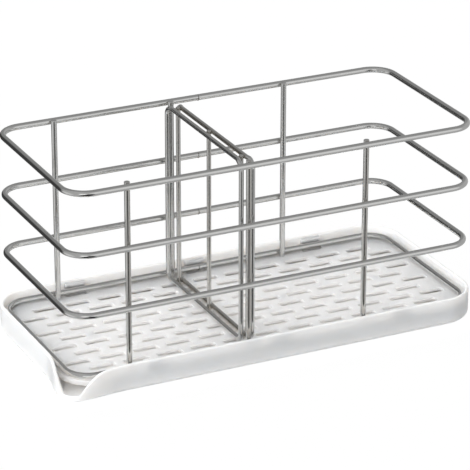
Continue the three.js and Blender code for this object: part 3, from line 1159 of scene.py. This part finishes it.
@dataclass
class WireBasket:
    """Four wire rings with six posts welded inside them."""

    half_length: float
    half_depth: float
    ring_heights: tuple[float, ...]
    post_stations: tuple[float, ...]
    post_y: float
    post_bottom: float
    post_top: float
    ring_wire: float = 3.6 * MM
    post_wire: float = 3.3 * MM
    corner_radius: float = 13.8 * MM
    corner_steps: int = 14
    sides: int = 20
    post_round: float = 0.3 * MM
    bead_half_width: float = 0.5 * MM
    bead_height: float = 0.14 * MM
    bead_down: float = 0.8
    bead_inwards: float = 0.5
    seam_station: float = 1.5 * MM
    seam_height: float = 0.13 * MM
    seam_spread: float = 0.9 * MM
    seam_rings: int = 12
    seam_smoothing: float = 0.3
    weld_reach: float = 1.4 * MM
    weld_sunk: float = 0.07 * MM
    nugget: Nugget = Nugget(Vector((1.15, 0.5, 1.15)) * MM, 1, 0.15 * MM, 0.05 * MM)

    @property
    def line(self) -> RoundedLoop:
        """The rings' centre line."""
        return RoundedLoop(self.half_length, self.half_depth, self.corner_radius)

    def ring(self, name: str, height: float) -> bpy.types.Object:
        """One ring, bent from its butt weld on the back bar and back to it.

        Args:
            name: The piece's name.
            height: The height of its centre line.

        Returns:
            The piece.
        """
        bead = self.bead_half_width
        weld_x = self.seam_station
        start = Vector((weld_x - bead, self.half_depth, height))
        bench = Bench.hoop(name, start, self.ring_wire / 2, -RIGHT, self.sides)
        bench.everything()
        straight = self.half_length - self.corner_radius
        side = 2 * (self.half_depth - self.corner_radius)
        legs = (
            (-RIGHT, straight + weld_x - bead, (-1, 1)),
            (-BACK, side, (-1, -1)),
            (RIGHT, 2 * straight, (1, -1)),
            (BACK, side, (1, 1)),
        )
        for direction, length, (side_x, side_y) in legs:
            bench.extrude(direction * length)
            centre = Vector((side_x * straight, side_y * side / 2, height))
            bench.spin(QUARTER_TURN, centre, UP, self.corner_steps)
        bench.extrude(RIGHT * (weld_x + bead - straight))
        for _ in range(4):
            bench.extrude(RIGHT * (-bead / 2))
        bench.merge()
        bench.move_points(lambda place: self.beaded(place, height))
        piece = bench.done()
        weld = Vector((weld_x, self.half_depth, height - self.ring_wire / 2))
        wire_values(piece, lambda place: self.along(place, height), [*self.crossings(height), weld])
        return piece

    def beaded(self, place: Vector, height: float) -> Vector:
        """A point of a ring with the butt weld's bead raised on the wire's lower inner half."""
        share = 1 - abs(place.x - self.seam_station) / self.bead_half_width
        if share <= 0 or place.y < 0:
            return place
        out = Vector((0, place.y - self.half_depth, place.z - height)).normalized()
        lower = max(0.0, -out.z * self.bead_down - out.y * self.bead_inwards)
        return place + out * (self.bead_height * math.sqrt(share) * min(lower, 1.0))

    def along(self, place: Vector, height: float) -> tuple[float, Vector]:
        """Distance along a ring, and the nearest point of its centre line."""
        distance, x, y = self.line.nearest(place.x, place.y)
        return distance, Vector((x, y, height))

    def crossings(self, height: float) -> list[Vector]:
        """Where the posts are welded to a ring."""
        touch = self.half_depth - self.ring_wire / 2
        return [Vector((x, side * touch, height)) for x in self.post_stations for side in (1, -1)]

    def seam(self, name: str, height: float) -> bpy.types.Object:
        """The dark ridge of a ring's butt weld, on its back bar."""
        reach = self.ring_wire / 2 + self.seam_height
        middle = Vector((self.seam_station, self.half_depth, height - self.seam_height))
        bench = Bench.ball(name, middle, Vector((self.seam_spread, reach, reach)), self.seam_rings)
        bench.edges(lambda edge: all(vertex.co.y > self.half_depth for vertex in edge.verts))
        bpy.ops.mesh.vertices_smooth(factor=self.seam_smoothing)
        return bench.done()

    def build(self, steel: DrawnSteel, weld_metal: WeldMetal, seam_metal: WeldMetal) -> None:
        """Builds and places the rings, the posts and their welds."""
        wire = steel.material()
        scale = seam_metal.material()
        for i, height in enumerate(self.ring_heights):
            piece = self.ring(f"wire_ring_{i + 1}", height)
            placed(piece, wire, Body.BASKET, (f"basket_ring_{i + 1}",))
            placed(self.seam(f"ring_seam_{i + 1}", height), scale, Body.BASKET)
        touch = self.half_depth - self.ring_wire / 2
        rod = Rod(
            bottom=self.post_bottom,
            top=self.post_top,
            wire=self.post_wire,
            end_round=self.post_round,
            weld_heights=self.ring_heights,
            weld_reach=self.weld_reach,
            sides=self.sides,
        )
        post = rod.model("post_model")
        nugget = self.nugget.model("weld_model", Vector((0, touch - self.weld_sunk, 0)))
        metal = weld_metal.material()
        for row, side in (ROWS[0], ROWS[2]):
            for column, x in zip(COLUMNS, self.post_stations):
                step = Vector((x, side * self.post_y, 0))
                piece = copied(post, f"wire_post_{row}_{column}", step)
                heats = [Vector((x, side * touch, height)) for height in self.ring_heights]
                upright_values(piece, step, heats)
                placed(piece, wire, Body.BASKET, (f"post_{row}_{column}",))
                nuggets = []
                for height in self.ring_heights:
                    twin = copied(nugget, "nugget", ORIGIN)
                    twin.data.transform(Matrix.Rotation(0 if side > 0 else math.pi, 4, "Z"))
                    twin.data.transform(Matrix.Translation(Vector((x, 0, height))))
                    nuggets.append(twin)
                welds = joined(f"welds_{row}_{column}", nuggets)
                placed(welds, metal, Body.BASKET)
        cleared_away(post, nugget)


@dataclass
class Divider:
    """Two splayed wire loops joined by three rods."""

    middle_x: float
    half_depth: float
    bottom_z: float
    top_z: float
    rod_bottom: float
    rod_top: float
    rod_spacing: float
    loop_wire: float = 2.8 * MM
    rod_wire: float = 2.6 * MM
    corner_radius: float = 5 * MM
    bar_offset: float = 2.85 * MM
    upright_offset: float = 3.5 * MM
    splay_length: float = 4 * MM
    splay_steps: int = 6
    corner_steps: int = 8
    sides: int = 18
    rod_round: float = 0.25 * MM
    weld_reach: float = 1.2 * MM
    weld_sunk: float = 0.07 * MM
    nugget: Nugget = Nugget(Vector((0.42, 0.95, 0.95)) * MM, 0, 0.12 * MM, 0.04 * MM)

    @property
    def middle_z(self) -> float:
        """The height of the loops' middle."""
        return (self.bottom_z + self.top_z) / 2

    @property
    def line(self) -> RoundedLoop:
        """A loop's centre line, with the depth as its length and the height as its depth."""
        return RoundedLoop(self.half_depth, (self.top_z - self.bottom_z) / 2, self.corner_radius)

    @property
    def splay_start(self) -> float:
        """Where the bars begin to part towards the uprights."""
        return self.half_depth - self.corner_radius - self.splay_length / 2

    def offset(self, y: float) -> float:
        """How far a loop is from the divider's middle plane at a place along the depth."""
        share = ease((abs(y) - self.splay_start) / self.splay_length)
        return lerp(self.bar_offset, self.upright_offset, share)

    def loop(self, name: str, side: int) -> bpy.types.Object:
        """One loop: an upright rounded rectangle of wire, splayed towards its uprights.

        Args:
            name: The piece's name.
            side: -1 for the left loop, 1 for the right one.

        Returns:
            The piece.
        """
        half_height = (self.top_z - self.bottom_z) / 2
        run = self.splay_start
        corner_y = self.half_depth - self.corner_radius
        start = Vector((0, run, self.top_z))
        bench = Bench.hoop(name, start, self.loop_wire / 2, -BACK, self.sides)
        bench.everything()
        height = 2 * (half_height - self.corner_radius)
        splay = [BACK * ((corner_y - run) / self.splay_steps)] * self.splay_steps
        away = [-step for step in splay]
        legs = (
            ([BACK * (-2 * run), *away], (-1, 1)),
            ([UP * -height], (-1, -1)),
            ([*splay, BACK * (2 * run), *splay], (1, -1)),
            ([UP * height], (1, 1)),
        )
        for steps, (side_y, side_z) in legs:
            for step in steps:
                bench.extrude(step)
            centre = Vector((0, side_y * corner_y, self.middle_z + side_z * height / 2))
            bench.spin(QUARTER_TURN, centre, RIGHT, self.corner_steps)
        for step in away:
            bench.extrude(step)
        bench.merge()
        bench.move_points(lambda p: Vector((p.x + self.middle_x + side * self.offset(p.y), p.y, p.z)))
        piece = bench.done()
        wire_values(piece, lambda place: self.along(place, side), self.crossings(side))
        return piece

    def along(self, place: Vector, side: int) -> tuple[float, Vector]:
        """Distance along a loop, and the nearest point of its centre line."""
        distance, y, z = self.line.nearest(place.y, place.z - self.middle_z)
        return distance, Vector((self.middle_x + side * self.offset(place.y), y, z + self.middle_z))

    def crossings(self, side: int) -> list[Vector]:
        """Where the rods are welded to a loop."""
        x = self.middle_x + side * (self.bar_offset - self.loop_wire / 2)
        rows = [row * self.rod_spacing for _, row in ROWS]
        return [Vector((x, y, z)) for y in rows for z in (self.bottom_z, self.top_z)]

    def build(self, steel: DrawnSteel, weld_metal: WeldMetal) -> None:
        """Builds and places the loops, the rods and their welds."""
        wire = steel.material()
        metal = weld_metal.material()
        for name, side in (("left", -1), ("right", 1)):
            piece = self.loop(f"divider_wire_{name}", side)
            placed(piece, wire, Body.DIVIDER, (f"divider_loop_{name}",))
        rod = Rod(
            bottom=self.rod_bottom,
            top=self.rod_top,
            wire=self.rod_wire,
            end_round=self.rod_round,
            weld_heights=(self.bottom_z, self.top_z),
            weld_reach=self.weld_reach,
            sides=self.sides,
        )
        bar = rod.model("rod_model")
        nugget = self.nugget.model("rod_weld_model", ORIGIN)
        for name, side in ROWS:
            step = Vector((self.middle_x, side * self.rod_spacing, 0))
            piece = copied(bar, f"divider_bar_{name}", step)
            upright_values(piece, step, [Vector((step.x, step.y, z)) for z in rod.weld_heights])
            placed(piece, wire, Body.DIVIDER, (f"divider_rod_{name}",))
        nuggets = []
        for side in (-1, 1):
            for place in self.crossings(side):
                nuggets.append(copied(nugget, "nugget", place - RIGHT * (side * self.weld_sunk)))
        placed(joined("divider_welds", nuggets), metal, Body.DIVIDER)
        cleared_away(bar, nugget)


@dataclass(frozen=True)
class Panel:
    """A round light or dark panel far away, which only glossy surfaces mirror. Angles are in degrees."""

    direction: tuple[float, float, float]
    reach: float
    fade: float
    brightness: float


@dataclass(frozen=True)
class Lamp:
    """A square soft lamp that points at the object and that only dull surfaces see."""

    name: str
    place: tuple[float, float, float]
    watts: float
    size: float = 1.6
    aim: tuple[float, float, float] = (0.0, 0.0, 0.04)

    def build(self) -> None:
        """Hangs the lamp."""
        data = bpy.data.lights.new(self.name, "AREA")
        data.shape = "SQUARE"
        data.size = self.size
        data.energy = self.watts
        lamp = bpy.data.objects.new(self.name, data)
        lamp.location = self.place
        lamp.rotation_mode = "QUATERNION"
        lamp.rotation_quaternion = (Vector(self.aim) - lamp.location).to_track_quat("-Z", "Y")
        lamp.visible_camera = False
        lamp.visible_glossy = False
        bpy.context.scene.collection.objects.link(lamp)


@dataclass
class Studio:
    """The white floor, the soft lamps, the panels that the wires mirror, and the camera."""

    floor_size: float = 6.0
    floor_drop: float = 0.02 * MM
    floor_glow: float = 0.95
    floor_white: float = 1.03
    card_colour: tuple[float, float, float] = (0.92, 0.92, 0.92)
    table_colour: tuple[float, float, float] = (0.36, 0.36, 0.36)
    card_half: tuple[float, float] = (134 * MM, 65 * MM)
    card_fade: float = 10 * MM
    ambient: float = 0.14
    base_panel: float = 0.5
    panels: tuple[Panel, ...] = (
        Panel((0.0, 0.8, 0.6), 25, 25, 0.30),
        Panel((-0.45, 0.85, -0.2), 25, 18, 0.055),
        Panel((-0.87, 0.15, -0.39), 14, 20, 0.75),
        Panel((0.4, 0.0, 0.9), 15, 25, 0.34),
        Panel((0.4, -0.9, 0.08), 18, 20, 0.85),
        Panel((-0.13, -0.91, -0.39), 15, 13, 0.04),
        Panel((-0.5, -0.86, 0.05), 10, 10, 1.3),
        Panel((-0.14, -0.69, -0.71), 18, 10, 0.01),
    )
    lamps: tuple[Lamp, ...] = (
        Lamp("left_softbox", (-2.6, 0.5, 0.95), 33),
        Lamp("high_left_softbox", (-2.0, -0.2, 2.0), 25),
        Lamp("front_left_softbox", (-1.7, -1.6, 1.2), 47),
        Lamp("top_softbox", (0.0, 0.0, 2.4), 14.5),
        Lamp("right_softbox", (2.6, 0.3, 1.2), 22),
        Lamp("back_softbox", (0.3, 2.4, 1.2), 54),
    )
    azimuth: float = -25.845
    elevation: float = 22.853
    roll: float = 0.154
    distance: float = 1.61797
    aim_height: float = 0.05
    slide: tuple[float, float] = (-0.001385, -0.007765)
    focal_pixels: float = 2796.3
    frame_pixels: int = 470
    principal: tuple[float, float] = (238.0, 227.0)
    sensor: float = 36.0

    def axes(self) -> tuple[Vector, Vector, Vector]:
        """The camera's right, up and backward directions."""
        turn = math.radians(self.azimuth)
        lift = math.radians(self.elevation)
        roll = math.radians(self.roll)
        back = Vector((math.sin(turn) * math.cos(lift), -math.cos(turn) * math.cos(lift), math.sin(lift)))
        level = UP.cross(back).normalized()
        upright = back.cross(level)
        right = math.cos(roll) * level + math.sin(roll) * upright
        up = -math.sin(roll) * level + math.cos(roll) * upright
        return right, up, back

    def camera(self) -> None:
        """Puts the camera at the photograph's place."""
        right, up, back = self.axes()
        data = bpy.data.cameras.new("photo_camera")
        data.sensor_fit = "HORIZONTAL"
        data.sensor_width = self.sensor
        data.lens = self.sensor * self.focal_pixels / self.frame_pixels
        middle = (self.frame_pixels - 1) / 2
        data.shift_x = (middle - self.principal[0]) / self.frame_pixels
        data.shift_y = (self.principal[1] - middle) / self.frame_pixels
        camera = bpy.data.objects.new("photo_camera", data)
        bpy.context.scene.collection.objects.link(camera)
        aim = Vector((0, 0, self.aim_height))
        place = aim - self.slide[0] * right - self.slide[1] * up + self.distance * back
        turned = Matrix((right, up, back)).transposed().to_4x4()
        camera.matrix_world = Matrix.Translation(place) @ turned
        bpy.context.scene.camera = camera

    def floor(self) -> None:
        """A white card on a wide table, which keeps the shadow and shows white to the camera."""
        Bench.clear()
        bpy.ops.mesh.primitive_plane_add(size=self.floor_size, location=(0, 0, -self.floor_drop))
        floor = bpy.context.object
        floor.name = "studio_floor"
        floor.visible_glossy = False
        recipe = Recipe.material("pale_floor")
        seen = recipe.node("ShaderNodeLightPath", {}, {}, "Is Camera Ray")
        mirrored = recipe.node("ShaderNodeVectorMath", {"operation": "ABSOLUTE"}, {0: recipe.place()})
        parts = recipe.node("ShaderNodeSeparateXYZ", {}, {0: mirrored})
        across = parts - self.card_half[0]
        along = Signal(recipe, parts.socket.node.outputs["Y"]) - self.card_half[1]
        away = recipe.node("ShaderNodeMath", {"operation": "MAXIMUM"}, {0: across, 1: along})
        colour = recipe.mixed(away.clipped(0, self.card_fade), self.card_colour, self.table_colour)
        lit = recipe.node("ShaderNodeBsdfDiffuse", {}, {"Color": colour})
        glow = recipe.node("ShaderNodeEmission", {}, {"Color": (1, 1, 1, 1), "Strength": self.floor_white})
        surface = recipe.node("ShaderNodeMixShader", {}, {0: seen * self.floor_glow, 1: lit, 2: glow})
        floor.data.materials.append(recipe.finish(surface))

    def world(self) -> None:
        """Surroundings: white to the camera, even to dull surfaces, panels of light and dark to the wires."""
        world = bpy.data.worlds.new("studio_world")
        bpy.context.scene.world = world
        recipe = Recipe(world)
        outwards = recipe.node("ShaderNodeTexCoord", {}, {}, "Generated")
        mirrored: Any = self.base_panel
        for panel in self.panels:
            towards = {0: outwards, 1: Vector(panel.direction).normalized()}
            facing = recipe.node("ShaderNodeVectorMath", {"operation": "DOT_PRODUCT"}, towards, "Value")
            limits = {
                "From Min": math.cos(math.radians(panel.reach + panel.fade)),
                "From Max": math.cos(math.radians(panel.reach)),
            }
            smooth = {"interpolation_type": "SMOOTHSTEP"}
            share = recipe.node("ShaderNodeMapRange", smooth, {"Value": facing, **limits})
            mirrored = mirrored + share * (panel.brightness - mirrored)
        path = recipe.node("ShaderNodeLightPath", {}, {}, "Is Camera Ray")
        glossy = Signal(recipe, path.socket.node.outputs["Is Glossy Ray"])
        plain = self.ambient * (1 - glossy) + mirrored * glossy
        strength = path + plain * (1 - path)
        inputs = {"Color": (1, 1, 1, 1), "Strength": strength}
        recipe.finish(recipe.node("ShaderNodeBackground", {}, inputs))

    def build(self) -> None:
        """Sets up the whole studio."""
        self.world()
        self.floor()
        for lamp in self.lamps:
            lamp.build()
        self.camera()
        bpy.context.scene.view_settings.view_transform = "Standard"


TRAY_PLASTIC = MouldedPlastic(
    name="tray_gloss_white",
    colour=(0.975, 0.945, 0.91),
    cloud_colour=(0.965, 0.935, 0.90),
    roughness=0.3,
    roughness_spread=0.12,
    coat=0.25,
    depth_glow=1.0,
    glow_distance=6.0 * MM,
    glow_radius=(1.0, 0.93, 0.86),
)
PLATE_PLASTIC = MouldedPlastic(
    name="plate_warm_white",
    colour=(0.916, 0.892, 0.868),
    cloud_colour=(0.902, 0.878, 0.853),
    roughness=0.42,
    roughness_spread=0.14,
    coat=0.0,
    depth_glow=1.0,
    glow_distance=14.0 * MM,
    glow_radius=(1.0, 0.94, 0.88),
)
BASKET_STEEL = DrawnSteel("basket_bright_steel", (0.72, 0.72, 0.71), (0.66, 0.66, 0.65), 0.15)
DIVIDER_STEEL = DrawnSteel("divider_bright_steel", (0.71, 0.71, 0.70), (0.64, 0.64, 0.63), 0.16)
WELD_METAL = WeldMetal("weld_metal")
SEAM_METAL = WeldMetal("seam_metal", (0.20, 0.19, 0.17), (0.12, 0.11, 0.10))
SEAT_GAP = 0.3 * MM  # under a post that stands on the plate
RING_INSET = 1.2 * MM  # from the plate's edge to the outside of the rings
LOOP_SETBACK = 2.4 * MM  # from the posts' centre lines in to the divider's uprights


def sized_from_frame() -> tuple[Tray, DripPlate, WireBasket, Divider]:
    """The sub-assemblies with their main sizes read from the frame.

    Returns:
        The tray, the drip plate, the wire basket and the divider.
    """
    _, tray_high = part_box("tray")
    plate_low, plate_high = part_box("drip_plate")
    rings = [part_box(f"basket_ring_{i}") for i in range(1, 5)]
    heights = tuple((low.z + high.z) / 2 for low, high in rings)
    posts = [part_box(f"post_back_{column}") for column in COLUMNS]
    stations = tuple((low.x + high.x) / 2 for low, high in posts)
    post_low, post_high = posts[0]
    rod_low, rod_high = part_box("divider_rod_back")
    tray = Tray(half_length=tray_high.x, half_depth=tray_high.y, height=tray_high.z)
    plate = DripPlate(
        half_length=plate_high.x,
        half_depth=plate_high.y,
        foot_bottom=plate_low.z,
        top=post_low.z - SEAT_GAP,
        hook_top=plate_high.z,
    )
    ring_inset = RING_INSET + (rings[0][1].z - rings[0][0].z) / 2
    basket = WireBasket(
        half_length=plate_high.x - ring_inset,
        half_depth=plate_high.y - ring_inset,
        ring_heights=heights,
        post_stations=stations,
        post_y=(post_low.y + post_high.y) / 2,
        post_bottom=post_low.z,
        post_top=post_high.z,
    )
    divider = Divider(
        middle_x=stations[1],
        half_depth=basket.post_y - LOOP_SETBACK,
        bottom_z=rod_low.z + Divider.loop_wire / 2,
        top_z=rod_high.z - Divider.loop_wire / 2,
        rod_bottom=rod_low.z,
        rod_top=rod_high.z,
        rod_spacing=(rod_low.y + rod_high.y) / 2,
    )
    return tray, plate, basket, divider


def main() -> None:
    """Builds every sub-assembly on the frame, and then the studio round it."""
    logging.basicConfig(level=logging.INFO, format="%(name)s: %(message)s")
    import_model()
    tray, plate, basket, divider = sized_from_frame()
    tray.build(TRAY_PLASTIC)
    plate.build(PLATE_PLASTIC)
    basket.build(BASKET_STEEL, WELD_METAL, SEAM_METAL)
    divider.build(DIVIDER_STEEL, WELD_METAL)
    Studio().build()


if __name__ == "__main__":
    main()
